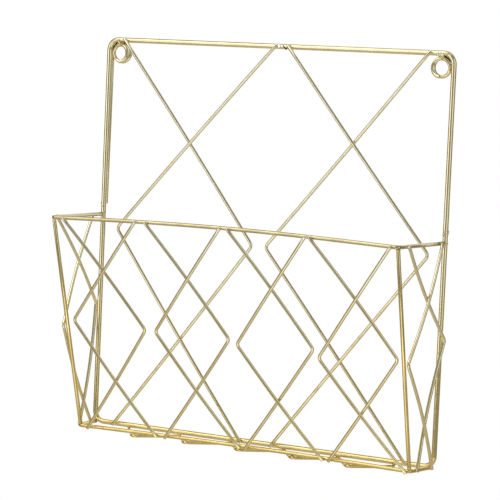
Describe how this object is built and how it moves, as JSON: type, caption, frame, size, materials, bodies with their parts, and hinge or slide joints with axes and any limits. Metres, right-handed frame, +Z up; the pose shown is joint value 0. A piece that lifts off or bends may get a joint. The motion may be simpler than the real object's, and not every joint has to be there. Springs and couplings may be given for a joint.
{
  "type": "wall magazine rack",
  "caption": "Gold plated wire rack that hangs on a wall: a flat lattice back with a hanging eye in each upper corner and a slanted lattice basket that holds magazines.",
  "frame": {"origin": "on the wall plane, midway between the centres of the two hanging eyes, and level with them", "axes": "+X to the right as seen from the front, +Y into the wall, +Z up"},
  "size_m": [0.3056, 0.0799, 0.3055],
  "materials": {
    "pale_plating": "glossy champagne gold plating on steel wire",
    "deep_plating": "glossy gold plating on steel wire, a little more yellow low on the basket"
  },
  "bodies": {
    "root": {"back_frame": "pale_plating", "hanger_left": "pale_plating", "hanger_right": "pale_plating", "basket_rim": "pale_plating", "back_chevron_left_outer": "pale_plating", "back_chevron_left_inner": "pale_plating", "back_chevron_right_outer": "pale_plating", "back_chevron_right_inner": "pale_plating", "base_rail": "deep_plating", "front_post_left": "deep_plating", "front_post_right": "deep_plating", "floor_zigzag": "deep_plating", "front_cell_1_right_chevron": "deep_plating", "front_cell_1_left_chevron": "deep_plating", "front_cell_2_right_chevron": "deep_plating", "front_cell_2_left_chevron": "deep_plating", "front_cell_3_right_chevron": "deep_plating", "front_cell_3_left_chevron": "deep_plating", "front_cell_4_right_chevron": "deep_plating", "front_cell_4_left_chevron": "deep_plating", "side_chevron_left_rearward": "deep_plating", "side_chevron_left_forward": "deep_plating", "side_chevron_right_rearward": "deep_plating", "side_chevron_right_forward": "deep_plating"}
  },
  "joints": []
}
